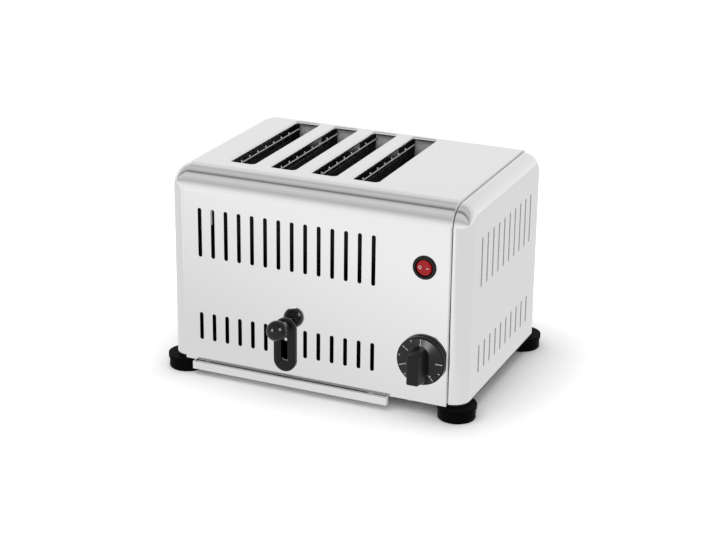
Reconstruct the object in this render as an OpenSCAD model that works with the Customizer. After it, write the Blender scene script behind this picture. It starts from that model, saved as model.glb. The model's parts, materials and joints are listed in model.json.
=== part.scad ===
// Four-slot toaster with a wrapped steel cover, drawn end caps and a hand-lifted bread carriage
// Millimetres, +Z up, the front faces -Y, origin on the table under the middle of the outer box

/* [Case] */
// Width of the wrapped cover, seam to seam
cover_w = 288; // [280:1:330]
// Height of the cover, lower edge to top face
cover_h = 206; // [202:1:240]
// Clear height from the table to the cover's lower edge
stand_h = 15; // [14:0.5:25]
// Sheet thickness of the cover and the end caps
sheet_t = 1; // [0.8:0.1:1.2]
// Outer radius of the bends between front, top and back
bend_r = 25; // [20:1:25]
// Width of each end cap outside the seam
cap_w = 17.5; // [17.5:0.5:25]
// Edge radius of the drawn end caps
cap_r = 17; // [10:0.5:17]
// Width of each end cap's rim under the cover
cap_rim = 8; // [5:0.5:8]
// Width of each end cap's lower tab
cap_tab = 12; // [10:0.5:13]
// Gap between nested sheets
seam_gap = 0.1; // [0.05:0.05:0.2]
// Thickness of the base plate
base_t = 1.2; // [1:0.1:2]
// Depth of the cover's lower flanges
flange_d = 12; // [10:0.5:14]

/* [Vents] */
// Width of the front and back vents
vent_w = 4.2; // [2:0.1:5]
// Spacing of the front and back vents
vent_pitch = 14.6; // [12:0.1:15]
// Number of vents in a row
vent_count = 14; // [10:2:14]
// Lower vents left out behind the lever plate
vent_skip = 2; // [2:2:4]
// Height of the lower row above the cover's lower edge
low_vent_z = 23.8; // [20:0.1:30]
// Length of the lower vents
low_vent_h = 29.8; // [20:0.1:40]
// Height of the upper row above the cover's lower edge
high_vent_z = 114; // [90:0.5:120]
// Length of the upper vents
high_vent_h = 52; // [30:1:60]
// Width of the end caps' vents
side_vent_w = 4; // [2:0.1:5]
// Spacing of the end caps' vents
side_vent_pitch = 16; // [12:0.1:16.5]
// Number of vents in an end cap's row
side_vent_count = 10; // [6:1:11]

/* [Bread slots] */
// Distance from the left seam to the heating chamber
field_in = 16; // [15.5:0.1:20]
// Number of bread slots
slot_count = 4; // [2:1:4]
// Width of a bread slot
slot_w = 27; // [25:0.5:30]
// Length of a bread slot
slot_l = 159; // [140:1:159]
// Spacing of the bread slots
slot_pitch = 45; // [42:0.2:46]
// Corner radius of the bread slots
slot_r = 4; // [2:0.5:8]
// Depth of the slots' turned-down lips
slot_lip = 3; // [2:0.5:4]
// Distance from the front face to the bread slots
slot_front = 40; // [40:0.5:44]
// Distance from the bread slots to the back face
slot_back = 27; // [26:0.5:40]

/* [Heating chamber] */
// Thickness of the inner plates
plate_t = 1; // [0.8:0.1:1.5]
// Gap from the slots' ends to the bulkheads
end_gap = 5; // [3:0.5:6]
// Gap from the outer heater boards to the side plates
side_gap = 8; // [5:0.5:9]
// Thickness of the heater boards
board_t = 1.2; // [0.8:0.1:2]
// Height of the heater boards' lower edge above the cover's lower edge
board_z = 61; // [55:1:70]
// Height of the heater boards
board_h = 124; // [100:1:126]
// Gap from the heater boards' ends to the bulkheads
board_gap = 5; // [3:0.5:8]
// Height of the heater boards' tabs
tab_h = 10; // [6:0.5:14]
// Inset of the tabs from the boards' upper and lower edges
tab_inset = 4; // [2:0.5:8]
// Reach of the tabs past the bulkheads
tab_out = 1.5; // [1:0.1:3]
// Height of the heater ribbon
ribbon_h = 3; // [2:0.1:5]
// Thickness of the heater ribbon
ribbon_t = 0.4; // [0.2:0.1:0.6]
// Spacing of the ribbon's turns
ribbon_pitch = 12; // [8:0.5:14]
// Number of the ribbon's turns
ribbon_turns = 7; // [4:1:7]
// Thickness of the bus bars
bus_t = 0.8; // [0.5:0.1:1.5]

/* [Bread guards] */
// Diameter of the guard wires
wire_d = 1.6; // [1.5:0.1:2.2]
// Number of upright wires in a guard
guard_count = 7; // [5:2:7]
// Spacing of the upright wires
guard_pitch = 18.5; // [16:0.5:20]
// Distance from a slot's edge to the long wire's middle
guard_edge = 1.6; // [1:0.1:2]
// Depth of the upper long wire below the top face
guard_drop = 8.8; // [7:0.1:10]
// Height of the lower long wire above the cover's lower edge
guard_z = 48; // [44:0.5:52]
// Rise of the flared wire tips past the long wire
guard_tip = 2.6; // [0.5:0.1:3]
// Height of the flared part of the upright wires
guard_flare = 5; // [3:0.5:8]

/* [Lever] */
// Height of the raised lever above the cover's lower edge
lever_z = 57; // [56:0.5:62]
// Travel of the lever
lever_travel = 34; // [25:1:34]
// Diameter of the lever rod
lever_d = 6; // [5:0.5:6.5]
// Diameter of the ball
ball_d = 21; // [16:0.5:22]
// Distance from the front face to the ball's middle
ball_out = 19.5; // [18:0.5:26]
// Depth of the rod's seat in the ball
ball_seat = 12; // [10:0.5:14]
// Width of the lever plate
escutcheon_w = 24; // [22:0.5:30]
// Height of the lever plate
escutcheon_h = 57; // [56:0.5:58]
// Height of the lever plate's lower end above the cover's lower edge
escutcheon_z = 6.5; // [6:0.5:8]
// Thickness of the lever plate
escutcheon_t = 3; // [2.5:0.5:6]
// Width of the lever plate's slot
lever_slot_w = 7; // [6.8:0.1:8]
// Height of the slot's lower end above the cover's lower edge
lever_slot_z = 17.2; // [14:0.2:18]
// Height of the steel ledge that shows in the slot's lower end
ledge_h = 1; // [0.5:0.1:1.5]
// Diameter of the lever plate's pegs
peg_d = 3; // [2:0.1:3.4]
// Distance between the lever plate's pegs
peg_span = 17; // [16:0.5:18]
// Width of the shutter
shutter_w = 12; // [10:0.5:12]
// Thickness of the shutter
shutter_t = 1.5; // [1:0.1:2]
// Reach of the shutter below the rod
shutter_down = 19; // [15:0.5:19]
// Reach of the shutter above the rod
shutter_up = 10; // [8:0.5:14]
// Diameter of the shutter's rivet
rivet_d = 3.2; // [2:0.1:4]
// Distance of the rivet from the shutter's lower end
rivet_in = 2.2; // [2:0.1:4]

/* [Carriage] */
// Height of the raised racks' top above the cover's lower edge
rack_z = 92; // [90:0.5:95]
// Thickness of the racks' blades
rack_t = 2; // [1.5:0.1:3]
// Height of the racks' blades
rack_h = 8; // [6:0.5:8]
// Depth of a rack's fingers
finger_d = 4; // [3:0.5:6]
// Thickness of a rack's fingers
finger_t = 1.5; // [1:0.1:2]
// Height of the turned-up finger tips
finger_tip = 3; // [2:0.5:4]
// Distance from the front face to the cross bar's back
bar_back = 30; // [29:0.5:33]
// Thickness of the cross bar
bar_t = 3; // [2:0.5:4]
// Height of the cross bar
bar_h = 12; // [10:0.5:14]
// Reach of the cross bar past the outer racks
bar_end = 8; // [5:0.5:12]
// Width of the lever arm on the cross bar
arm_w = 14; // [10:0.5:16]
// Reach of the lever arm below the rod
arm_down = 6; // [5:0.5:8]
// Diameter of the guide rods
guide_d = 6; // [5:0.5:8]
// Distance between the guide rods
guide_span = 120; // [100:2:126]
// Distance from the front face to the guide rods
guide_y = 18; // [16:0.5:18]
// Wall of the bushes
bush_wall = 2.5; // [1.5:0.1:3]
// Wall of the bush housings
housing_wall = 2.5; // [2:0.1:3]
// Height of the bush housings
housing_h = 14; // [10:0.5:16]
// Thickness of the guide bracket
bracket_t = 2; // [1.5:0.1:3]
// Thickness of the brake spring
brake_t = 0.6; // [0.4:0.1:1]

/* [Controls] */
// Distance from the right seam to the middle of the switch and the timer
control_in = 26; // [26:0.5:28]
// Height of the switch above the cover's lower edge
switch_z = 141.5; // [125:0.5:150]
// Diameter of the switch's bezel
bezel_d = 24; // [22:0.5:28]
// Thickness of the switch's bezel
bezel_t = 2.2; // [1.5:0.1:3]
// Diameter of the switch's barrel
barrel_d = 20; // [19.5:0.1:21.5]
// Length of the switch's barrel behind the front sheet
barrel_l = 20; // [16:0.5:24]
// Diameter of the rocker
rocker_d = 16; // [14:0.1:16]
// Thickness of the rocker
rocker_t = 5; // [4:0.5:6]
// Tilt of the rocker to either side
rocker_tilt = 9; // [5:0.5:10]
// Diameter of the rocker's trunnions
trunnion_d = 2.4; // [2:0.1:2.8]
// Height of the timer above the cover's lower edge
timer_z = 46; // [40:0.5:60]
// Diameter of the timer knob
knob_d = 50; // [44:0.5:50]
// Height of the knob's skirt
skirt_h = 5; // [4:0.5:8]
// Width of the knob's bevelled rim
knob_bevel = 1.4; // [1:0.1:4]
// Height of the knob's grip above the skirt
grip_h = 21; // [12:0.5:24]
// Width of the knob's grip at the dial
grip_w = 18; // [14:0.5:20]
// Width of the knob's grip at its front
grip_crown_w = 11.8; // [8:0.2:13]
// Reach of the knob's grip above the shaft
grip_up = 16; // [13:0.5:20]
// Reach of the knob's grip below the shaft
grip_down = 18.5; // [13:0.5:20]
// Drop of the grip's sloping upper end
grip_slope = 2; // [1:0.5:6]
// Depth of the shaft's seat in the knob
knob_bore = 8; // [6:0.5:12]
// Gap between the knob and the front sheet
knob_gap = 0.8; // [0.5:0.1:2]
// Diameter of the timer's shaft
shaft_d = 6; // [5:0.5:7]
// Diameter of the timer's neck
neck_d = 10; // [9:0.5:12]
// Width of the timer's case
timer_w = 34; // [30:0.5:34]
// Height of the timer's case
timer_h = 40; // [34:0.5:50]
// Depth of the timer's case
timer_d = 30; // [24:0.5:36]
// Distance between the timer's screws
timer_screw_span = 28; // [24:0.5:28]

/* [Tray] */
// Reach of the tray's pan past the outer heater boards
pan_side = 0.4; // [0.2:0.1:1]
// Distance from the tray's pan to the back face
pan_back = 30; // [28:0.5:40]
// Height of the tray's floor above the table
pan_z = 7; // [5.5:0.5:7]
// Sheet thickness of the tray
pan_t = 0.8; // [0.6:0.1:1]
// Width of the pan's side flanges
pan_flange = 3.5; // [3:0.5:4]
// Width of the tray's front lip
lip_w = 216; // [200:1:216]
// Middle of the front lip, from the bread slots' middle
lip_x = 5; // [4.5:0.5:6]
// Reach of the front lip past the front face
lip_d = 6; // [5:0.5:10]
// Height of the front lip
lip_h = 8; // [7:0.5:10]
// Thickness of the tray runners
runner_t = 1; // [0.8:0.1:1.5]

/* [Feet] */
// Largest diameter of a foot
foot_d = 40; // [34:0.5:40]
// Diameter of a foot's lower body
foot_low_d = 38; // [30:0.5:38]
// Height of a foot's upper rim
foot_rim_h = 4; // [3:0.5:6]
// Distance from an end cap's face to a foot's middle
foot_in_x = 11.5; // [11:0.5:13]
// Distance from the front or back face to a foot's middle
foot_in_y = 14.5; // [14:0.5:18]
// Diameter of a foot's upper boss
foot_boss_d = 20; // [16:0.5:22]
// Diameter of the foot bolts
bolt_d = 5; // [4:0.5:6]

/* [Supply] */
// Distance from the right seam to the middle of the cord's gland
gland_in = 32; // [30:1:40]
// Height of the gland above the cover's lower edge
gland_z = 30; // [26:1:50]
// Diameter of the gland's bore for the cord
gland_bore = 8; // [6:0.5:9]
// Wall of the gland's neck
gland_wall = 2.4; // [1.5:0.1:3]
// Reach of the gland past the back face
gland_out = 8; // [6:0.5:12]
// Size of the gland's flange and nut
gland_head = 20; // [18:0.5:24]
// Width of the terminal block
block_w = 36; // [30:1:40]
// Depth of the terminal block
block_d = 16; // [14:0.5:20]
// Height of the terminal block
block_h = 18; // [14:0.5:24]
// Diameter of the lead wires
lead_d = 2.4; // [1.6:0.2:3]
// Gap from the terminal block to the rear bulkhead
block_gap = 4; // [2:0.5:8]
// Distance from the cover's lower flange's ends to the outer screws
flange_screw_in = 25; // [20:1:30]
// Distance between the front flange's two screws
flange_screw_span = 20; // [16:1:22]
// Diameter of the case screws
screw_d = 4; // [3:0.5:4]
// Diameter of the case screws' heads
screw_head_d = 7; // [6:0.5:8]
// Height of the screws' heads
screw_head_h = 1.6; // [1.2:0.1:2]

/* [Clearances] */
// Radial clearance of running fits
run_gap = 0.05; // [0.02:0.01:0.08]
// Radial clearance of fixed fits
press_gap = 0.02; // [0.01:0.01:0.05]
// Clearance of loose holes and slots
free_gap = 0.5; // [0.3:0.1:0.6]
// Gap between a moving piece and its seat
seat_gap = 0.3; // [0.2:0.05:0.4]

/* [Hidden] */
$fn = 48;
cut = 1;

// Places along Y, from the outer box's middle
case_d = slot_front + slot_l + slot_back;
pan_l = case_d - pan_back;
front_y = (ball_out + ball_d / 2 - case_d - gland_out) / 2;
back_y = front_y + case_d;
bulk_front_y = front_y + slot_front - end_gap - plate_t;
bulk_rear_y = front_y + slot_front + slot_l + end_gap;
slot_y = front_y + slot_front + slot_l / 2;
bar_y = front_y + bar_back;
guide_row_y = front_y + guide_y;

// Heights above the table
edge_z = stand_h;
top_z = edge_z + cover_h;
base_z = edge_z + sheet_t;
floor_z = base_z + base_t;
rod_z = edge_z + lever_z;
rack_top_z = edge_z + rack_z;
bar_z = rack_top_z - rack_h - finger_tip;
board_low_z = edge_z + board_z;
board_top_z = board_low_z + board_h;

// The cover's ends are hemmed to twice the sheet, and the end caps nest in them
hem_t = 2 * sheet_t;
nest = hem_t + seam_gap;
cap_d = case_d - 2 * nest;
cap_top_z = top_z - nest;
cap_corner_r = bend_r - nest;
case_half = cover_w / 2 + cap_w;

// The roof over the inner plates, lower where the rear bend has begun
roof_r = bend_r - sheet_t;
roof_past = max(0, bulk_rear_y + plate_t + bend_r - back_y);
roof_z = top_z - sheet_t - run_gap - roof_r + sqrt(roof_r * roof_r - roof_past * roof_past);

// The bread field
chamber_half = slot_count * slot_pitch / 2 + side_gap;
field_x = chamber_half + field_in - cover_w / 2;
control_x = cover_w / 2 - control_in;
gland_x = cover_w / 2 - gland_in;
pan_w = slot_count * slot_pitch + 2 * pan_side;
function slot_x(i) = field_x + (i - (slot_count + 1) / 2) * slot_pitch;
function board_x(i) = field_x + (i - 1 - slot_count / 2) * slot_pitch;
guard_reach = slot_w / 2 - guard_edge;
upright_reach = guard_reach - wire_d * 0.45;
finger_half = upright_reach - wire_d / 2 - free_gap - seat_gap;

// The carriage
housing_r = guide_d / 2 + run_gap + bush_wall + press_gap + housing_wall;
bush_r = guide_d / 2 + run_gap + bush_wall;
leaf_h = 5;
bracket_z = bar_z + housing_h + leaf_h + free_gap;
sleeve_top_z = bar_z - lever_travel - seat_gap;

// The tray
lip_mid_x = field_x + lip_x;
pan_top_z = base_z - free_gap - 2 * runner_t;
drop_w = pan_w - 10;
drop_l = slot_l - 8;
foot_top_z = edge_z - seat_gap;
foot_x = case_half - foot_in_x;
flange_half = foot_x - foot_d / 2 - free_gap;

// The knob and the switch
knob_back_y = front_y - knob_gap;
neck_front_y = front_y - knob_gap / 2;
rocker_y = front_y + 0.6;
pocket_r = rocker_d / 2 + free_gap + seat_gap;

// The terminal block
block_y = bulk_rear_y - block_gap - block_d;
function way(p, q) = (q - p) / norm(q - p);

// A rectangle with round corners about its middle
module rounded(w, h, r) {
    square([w - 2 * r, h], center = true);
    square([w, h - 2 * r], center = true);
    for (x = [-1, 1], y = [-1, 1]) translate([x * (w / 2 - r), y * (h / 2 - r)]) circle(r);
}

// A slot with round ends, standing on its lower end
module upright_slot(w, h) {
    translate([-w / 2, w / 2]) square([w, h - w]);
    translate([0, w / 2]) circle(w / 2);
    translate([0, h - w / 2]) circle(w / 2);
}

// The case's end view: square below, round at the two upper corners
module end_view(d, h, r) {
    square([d, h - r]);
    translate([r, 0]) square([d - 2 * r, h]);
    for (y = [r, d - r]) translate([y, h - r]) circle(r);
}

// Raises an end view along X
module along_x(l) {
    rotate([90, 0, 90]) linear_extrude(l) children();
}

// Raises a front view from y_back towards the front
module from_back(y_back, l) {
    translate([0, y_back, 0]) rotate([90, 0, 0]) linear_extrude(l) children();
}

// A round rod between two points
module rod_between(p, q, d) {
    v = q - p;
    len = norm(v);
    translate(p) rotate([0, acos(v.z / len), atan2(v.y, v.x)]) cylinder(h = len, d = d, $fn = 24);
}

// Two rows of vents in a front view
module vent_rows(skip) {
    for (i = [0:vent_count - 1]) {
        x = field_x + (i - (vent_count - 1) / 2) * vent_pitch;
        translate([x, edge_z + high_vent_z]) upright_slot(vent_w, high_vent_h);
        if (abs(i - (vent_count - 1) / 2) > skip / 2)
            translate([x, edge_z + low_vent_z]) upright_slot(vent_w, low_vent_h);
    }
}

// Places for the screws under the cover's flanges
cover_screws = [
    for (x = [flange_half - flange_screw_in - flange_screw_span, flange_half - flange_screw_in])
        [x, front_y + flange_d / 2],
    for (x = [flange_screw_in - flange_half, 0, flange_half - flange_screw_in]) [x, back_y - flange_d / 2]
];
// Places for the screws under the end caps' tabs
cap_screws = [
    for (x = [-1, 1], y = [-1, 1]) [x * (case_half - cap_tab / 2 - sheet_t), (front_y + back_y) / 2 + y * case_d / 6]
];
foot_places = [for (y = [front_y + foot_in_y, back_y - foot_in_y], x = [-1, 1]) [x * foot_x, y]];

module wrap_cover() {
    color("gainsboro") difference() {
        union() {
            translate([-cover_w / 2, front_y, edge_z]) difference() {
                along_x(cover_w) difference() {
                    end_view(case_d, cover_h, bend_r);
                    translate([hem_t, -cut]) end_view(case_d - 2 * hem_t, cover_h - hem_t + cut, bend_r - hem_t);
                }
                translate([cap_rim, sheet_t, -cut]) along_x(cover_w - 2 * cap_rim)
                    end_view(case_d - 2 * sheet_t, cover_h - sheet_t + cut, bend_r - sheet_t);
            }
            for (y = [front_y, back_y - flange_d])
                translate([-flange_half, y, edge_z]) cube([2 * flange_half, flange_d, sheet_t]);
            for (i = [1:slot_count]) translate([slot_x(i), slot_y, top_z - slot_lip])
                linear_extrude(slot_lip) rounded(slot_w + 2 * sheet_t, slot_l + 2 * sheet_t, slot_r + sheet_t);
        }
        for (i = [1:slot_count]) translate([slot_x(i), slot_y, top_z - slot_lip - cut])
            linear_extrude(slot_lip + 2 * cut) rounded(slot_w, slot_l, slot_r);
        from_back(front_y + sheet_t + cut, sheet_t + 2 * cut) {
            vent_rows(vent_skip);
            translate([field_x, edge_z + lever_slot_z + ledge_h])
                upright_slot(lever_slot_w + 2 * free_gap, lever_z - lever_slot_z + lever_d / 2 + free_gap);
            for (x = [-1, 1]) translate([field_x + x * peg_span / 2, edge_z + escutcheon_z + escutcheon_h / 2])
                circle(peg_d / 2 + run_gap);
            translate([control_x, edge_z + switch_z]) circle(barrel_d / 2 + run_gap);
            translate([control_x, edge_z + timer_z]) circle(neck_d / 2 + run_gap);
            for (x = [-1, 1]) translate([control_x + x * timer_screw_span / 2, edge_z + timer_z])
                circle(screw_d / 2 + run_gap);
        }
        from_back(back_y + cut, sheet_t + 2 * cut) {
            vent_rows(0);
            translate([gland_x, edge_z + gland_z]) circle(gland_bore / 2 + gland_wall + run_gap);
        }
        for (p = cover_screws) translate([p.x, p.y, edge_z - cut])
            cylinder(h = sheet_t + 2 * cut, d = screw_d + 2 * run_gap);
    }
}

// Quarter of a drawn corner: depth r from its axis, width w past the seam, edge radius f
module corner_view(w, r, f, rim) {
    translate([0, -rim]) square([r, rim + w - f]);
    square([r - f, w]);
    translate([r - f, w - f]) intersection() {
        circle(f);
        square(f);
    }
}

// Section of an end cap's drawn wall with its rim under the cover
module cap_section() {
    difference() {
        corner_view(cap_w, cap_corner_r, cap_r, cap_rim);
        corner_view(cap_w - sheet_t, cap_corner_r - sheet_t, cap_r - sheet_t, cap_rim + cut);
    }
}

// Side face of an end cap with its vents
module cap_side() {
    mid_y = (front_y + back_y) / 2;
    difference() {
        translate([cap_w - sheet_t, front_y + nest + cap_corner_r, floor_z])
            cube([sheet_t, cap_d - 2 * cap_corner_r, cap_top_z - cap_corner_r - floor_z]);
        for (i = [0:side_vent_count - 1])
            translate([cap_w - sheet_t - cut, mid_y + (i - (side_vent_count - 1) / 2) * side_vent_pitch, edge_z])
                along_x(sheet_t + 2 * cut) {
                    translate([0, low_vent_z]) upright_slot(side_vent_w, low_vent_h);
                    translate([0, high_vent_z]) upright_slot(side_vent_w, high_vent_h);
                }
    }
}

module end_cap() {
    near_y = front_y + nest + cap_corner_r;
    far_y = back_y - nest - cap_corner_r;
    shoulder_z = cap_top_z - cap_corner_r;
    color("gainsboro") translate([cover_w / 2, 0, 0]) {
        cap_side();
        translate([0, near_y, floor_z]) linear_extrude(shoulder_z - floor_z) rotate(-90) cap_section();
        translate([0, far_y, floor_z]) mirror([0, 1, 0]) linear_extrude(shoulder_z - floor_z)
            rotate(-90) cap_section();
        translate([0, far_y, shoulder_z]) rotate([90, 0, 0]) linear_extrude(far_y - near_y)
            mirror([1, -1]) cap_section();
        translate([0, near_y, shoulder_z]) rotate([180, 0, 0]) rotate([0, 90, 0])
            rotate_extrude(angle = 90) cap_section();
        translate([0, far_y, shoulder_z]) rotate([90, 0, 0]) rotate([0, 90, 0])
            rotate_extrude(angle = 90) cap_section();
        difference() {
            translate([cap_w - cap_tab - sheet_t, front_y + 2 * foot_in_y, floor_z])
                cube([cap_tab, case_d - 4 * foot_in_y, sheet_t]);
            for (p = cap_screws) translate([p.x - cover_w / 2, p.y, floor_z - cut])
                cylinder(h = sheet_t + 2 * cut, d = screw_d + 2 * run_gap);
        }
    }
}

module end_cap_right() {
    end_cap();
}

module end_cap_left() {
    mirror([1, 0, 0]) end_cap();
}

module base_plate() {
    color("silver") translate([0, 0, base_z]) difference() {
        translate([0, (front_y + back_y) / 2]) linear_extrude(base_t) rounded(2 * case_half, cap_d, cap_r);
        translate([field_x - drop_w / 2, slot_y - drop_l / 2, -cut]) cube([drop_w, drop_l, base_t + 2 * cut]);
        for (p = concat(cover_screws, cap_screws)) translate([p.x, p.y, -cut])
            cylinder(h = base_t + 2 * cut, d = screw_d + 2 * run_gap);
        for (p = foot_places) translate([p.x, p.y, -cut])
            cylinder(h = base_t + 2 * cut, d = bolt_d + 2 * run_gap);
    }
}

module crumb_tray() {
    lip_y = front_y - lip_d;
    lip_end = 2 * pan_t;
    color("lightgray") difference() {
        union() {
            translate([field_x - pan_w / 2, front_y, pan_z]) cube([pan_w, pan_l, pan_top_z - pan_z]);
            translate([field_x - pan_w / 2 - pan_flange, front_y + flange_d + free_gap, pan_top_z - pan_t])
                cube([pan_w + 2 * pan_flange, pan_l - flange_d - free_gap, pan_t]);
            translate([lip_mid_x - lip_w / 2, lip_y, pan_z]) cube([lip_w, lip_d - seat_gap, lip_h]);
            translate([lip_mid_x - lip_w / 2 + lip_end, lip_y, pan_z])
                cube([lip_w - 2 * lip_end, lip_d + pan_t, pan_t]);
            translate([lip_mid_x - lip_w / 2 + lip_end, front_y, pan_z])
                cube([lip_w - 2 * lip_end, pan_t, pan_top_z - pan_z]);
        }
        translate([field_x - pan_w / 2 + pan_t, front_y + pan_t, pan_z + pan_t])
            cube([pan_w - 2 * pan_t, pan_l - 2 * pan_t, pan_top_z - pan_z]);
        translate([lip_mid_x - lip_w / 2 + pan_t, lip_y + pan_t, pan_z + pan_t])
            cube([lip_w - 2 * pan_t, lip_d - pan_t, lip_h]);
    }
}

module tray_runners() {
    rail_y = front_y + flange_d + free_gap;
    seat_z = pan_top_z - pan_t - seat_gap;
    reach = pan_w / 2 + pan_flange + free_gap;
    color("silver") for (x = [0, 1]) translate([field_x, 0, 0]) mirror([x, 0, 0]) {
        translate([reach, rail_y, seat_z - runner_t])
            cube([runner_t, pan_l - flange_d, base_z - seat_z + runner_t]);
        translate([reach - pan_flange, rail_y, seat_z - runner_t])
            cube([pan_flange + runner_t, pan_l - flange_d, runner_t]);
    }
}

module foot(i) {
    p = foot_places[i - 1];
    seat_z = base_z;
    recess_d = bolt_d * 2.4;
    recess_h = 5;
    groove = 0.8;
    color("#181818") translate([p.x, p.y, 0]) difference() {
        rotate_extrude() {
            square([foot_low_d / 2 - groove, 1]);
            translate([0, groove]) square([foot_low_d / 2, foot_top_z - foot_rim_h - 2 * groove]);
            translate([0, 1]) square([foot_low_d / 2 - groove, foot_top_z - foot_rim_h]);
            translate([0, foot_top_z - foot_rim_h]) square([foot_d / 2, foot_rim_h]);
            square([foot_boss_d / 2, seat_z]);
        }
        translate([0, 0, -cut]) cylinder(h = recess_h + cut, d = recess_d);
        translate([0, 0, -cut]) cylinder(h = seat_z + 2 * cut, d = bolt_d + 2 * run_gap);
    }
}

// Bolts from below with their nuts on the base plate
module foot_bolts() {
    head_d = bolt_d * 1.8;
    head_z = 2;
    recess_h = 5;
    nut_h = 4;
    nut_d = bolt_d * 1.85;
    color("silver") for (p = foot_places) translate([p.x, p.y, 0]) {
        translate([0, 0, head_z]) cylinder(h = recess_h - head_z, d = head_d);
        translate([0, 0, recess_h]) cylinder(h = floor_z + nut_h + 2 - recess_h, d = bolt_d);
        translate([0, 0, floor_z]) difference() {
            cylinder(h = nut_h, d = nut_d, $fn = 6);
            translate([0, 0, -cut]) cylinder(h = nut_h + 2 * cut, d = bolt_d + 2 * press_gap);
        }
    }
}

module case_screw(head_z, grip) {
    translate([0, 0, head_z - screw_head_h]) cylinder(h = screw_head_h, d = screw_head_d);
    translate([0, 0, head_z]) cylinder(h = grip, d = screw_d);
}

module case_screws() {
    point = 3;
    color("silver") {
        for (p = cover_screws) translate([p.x, p.y, 0]) case_screw(edge_z, sheet_t + base_t + point);
        for (p = cap_screws) translate([p.x, p.y, 0]) case_screw(base_z, base_t + sheet_t + point);
    }
}

module lever_plate() {
    slot_h = lever_z - lever_slot_z + lever_d / 2 + free_gap;
    color("#202020") difference() {
        union() {
            from_back(front_y, escutcheon_t) translate([field_x, edge_z + escutcheon_z])
                upright_slot(escutcheon_w, escutcheon_h);
            for (x = [-1, 1])
                translate([field_x + x * peg_span / 2, front_y, edge_z + escutcheon_z + escutcheon_h / 2])
                    rotate([-90, 0, 0]) cylinder(h = sheet_t + 1, d = peg_d);
        }
        from_back(front_y + cut, escutcheon_t + 2 * cut)
            translate([field_x, edge_z + lever_slot_z + slot_h / 2]) rounded(lever_slot_w, slot_h, 1);
    }
}

module lever_ball() {
    flat = 1;
    color("#181818") translate([field_x, front_y - ball_out, rod_z]) rotate([-90, 0, 0]) rotate_extrude() difference() {
        intersection() {
            circle(d = ball_d);
            translate([0, -ball_d / 2]) square([ball_d / 2, ball_d - flat]);
        }
        translate([0, ball_d / 2 - ball_seat]) square([lever_d / 2 + press_gap, ball_seat]);
    }
}

module lever_rod() {
    tip_y = front_y - ball_out + ball_d / 2 - ball_seat;
    color("lightgray") translate([field_x, tip_y, rod_z]) rotate([-90, 0, 0])
        cylinder(h = bar_y - 2 * bar_t - tip_y, d = lever_d);
}

module lever_shutter() {
    color("#202020") from_back(front_y + sheet_t + seat_gap + shutter_t, shutter_t) difference() {
        translate([field_x - shutter_w / 2, rod_z - shutter_down]) square([shutter_w, shutter_down + shutter_up]);
        translate([field_x, rod_z]) circle(lever_d / 2 + press_gap);
        translate([field_x, rod_z - shutter_down + rivet_in]) circle(rivet_d / 2 + press_gap);
    }
}

module shutter_rivet() {
    proud = seat_gap / 3;
    color("white") from_back(front_y + sheet_t + seat_gap + shutter_t, shutter_t + proud)
        translate([field_x, rod_z - shutter_down + rivet_in]) circle(rivet_d / 2);
}

// Cross bar with the lever arm in front and a bush housing at each guide rod
module carriage_bar() {
    span = slot_x(slot_count) - slot_x(1) + rack_t + 2 * bar_end;
    arm_z = rod_z - arm_down;
    color("silver") difference() {
        union() {
            translate([field_x - span / 2, bar_y - bar_t, bar_z]) cube([span, bar_t, bar_h]);
            translate([field_x - arm_w / 2, bar_y - 2 * bar_t, arm_z]) cube([arm_w, bar_t, bar_z + bar_h - arm_z]);
            for (x = [-1, 1]) translate([field_x + x * guide_span / 2, guide_row_y, bar_z]) {
                cylinder(h = housing_h, r = housing_r);
                translate([-housing_r, 0, 0]) cube([2 * housing_r, bar_back - bar_t - guide_y, housing_h]);
            }
        }
        for (x = [-1, 1]) translate([field_x + x * guide_span / 2, guide_row_y, bar_z - cut])
            cylinder(h = housing_h + 2 * cut, r = bush_r + press_gap);
    }
}

module guide_bushes() {
    color("goldenrod") for (x = [-1, 1]) translate([field_x + x * guide_span / 2, guide_row_y, bar_z]) difference() {
        cylinder(h = housing_h, r = bush_r);
        translate([0, 0, -cut]) cylinder(h = housing_h + 2 * cut, d = guide_d + 2 * run_gap);
    }
}

// Leaf on a housing's top that drags on the guide rod
module brake_spring() {
    leaf_w = 5;
    leaf_x = guide_d / 2 + seat_gap;
    color("silver") translate([field_x + guide_span / 2, guide_row_y - leaf_w / 2, bar_z + housing_h]) {
        translate([leaf_x, 0, 0]) cube([brake_t, leaf_w, leaf_h]);
        translate([leaf_x, 0, 0]) cube([housing_r - leaf_x, leaf_w, brake_t]);
    }
}

// Blade with cross fingers and turned-up tips between the guard wires
module bread_rack(i) {
    finger_z = rack_top_z - finger_tip;
    color("silver") translate([slot_x(i), 0, 0]) {
        translate([-rack_t / 2, bar_y, finger_z - rack_h])
            cube([rack_t, bulk_rear_y + plate_t + tab_out / 2 - bar_y, rack_h]);
        for (k = [0:guard_count - 2]) translate([0, slot_y + (k - (guard_count - 2) / 2) * guard_pitch, 0]) {
            translate([-finger_half, -finger_d / 2, finger_z - finger_t]) cube([2 * finger_half, finger_d, finger_t]);
            for (x = [-finger_half, finger_half - finger_t])
                translate([x, -finger_d / 2, finger_z - finger_t]) cube([finger_t, finger_d, finger_tip + finger_t]);
        }
    }
}

module guide_rods() {
    color("lightgray") for (x = [-1, 1]) translate([field_x + x * guide_span / 2, guide_row_y, floor_z])
        cylinder(h = bracket_z + 2 * bracket_t - floor_z, d = guide_d);
}

module stop_sleeves() {
    color("dimgray") for (x = [-1, 1]) translate([field_x + x * guide_span / 2, guide_row_y, floor_z]) difference() {
        cylinder(h = sleeve_top_z - floor_z, r = bush_r);
        translate([0, 0, -cut]) cylinder(h = sleeve_top_z, d = guide_d + 2 * press_gap);
    }
}

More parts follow.
